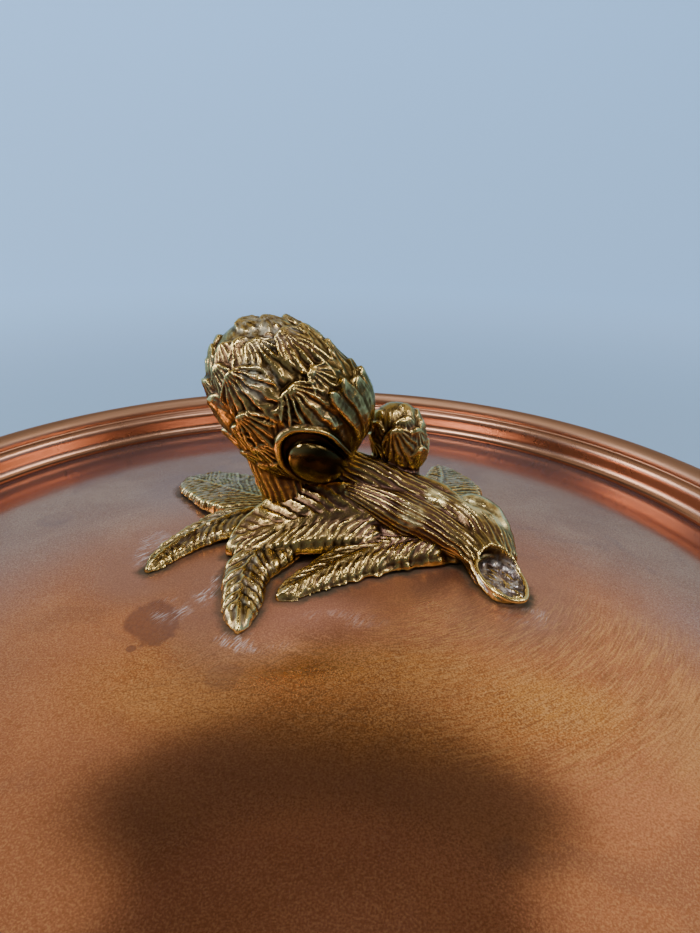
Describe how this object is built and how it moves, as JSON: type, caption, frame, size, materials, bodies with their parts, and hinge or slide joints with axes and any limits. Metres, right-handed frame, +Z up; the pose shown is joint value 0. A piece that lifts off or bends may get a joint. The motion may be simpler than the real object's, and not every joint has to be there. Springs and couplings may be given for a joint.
{
  "type": "covered copper pot",
  "caption": "Covered copper cooking pot with rolled rim, riveted cast brass loop handles and a domed drop-in lid with a cast artichoke finial.",
  "frame": {"origin": "centre of the flat base, which is also the middle of the bounding box's bottom", "axes": "+Z up through the lid, +X through the two handles, -Y the side seen in the picture"},
  "size_m": [0.3554, 0.26, 0.2104],
  "materials": {
    "copper_sheet": "polished copper with mottled tarnish and fine scratches",
    "cast_brass": "cast and polished on the ridges, dark in the hollows",
    "copper_rivet": "hammered copper",
    "brass_fixing": "machined brass",
    "steel_wire": "plain drawn wire"
  },
  "bodies": {
    "pot": {"pot_body": "copper_sheet", "pot_rim_wire": "steel_wire", "handle_left": "cast_brass", "handle_right": "cast_brass", "left_handle_rivet_1": "copper_rivet", "left_handle_rivet_2": "copper_rivet", "left_handle_rivet_3": "copper_rivet", "left_handle_rivet_4": "copper_rivet", "right_handle_rivet_1": "copper_rivet", "right_handle_rivet_2": "copper_rivet", "right_handle_rivet_3": "copper_rivet", "right_handle_rivet_4": "copper_rivet"},
    "lid": {"lid_shell": "copper_sheet", "lid_rim_wire": "steel_wire", "finial": "cast_brass", "finial_screw_1": "brass_fixing", "finial_screw_2": "brass_fixing", "finial_screw_3": "brass_fixing", "finial_washer_1": "brass_fixing", "finial_washer_2": "brass_fixing", "finial_washer_3": "brass_fixing"}
  },
  "joints": [
    {"name": "lid_lift", "type": "slide", "parent": "pot", "child": "lid", "axis": [0, 0, 1], "range_m": [0, 0.2]}
  ]
}
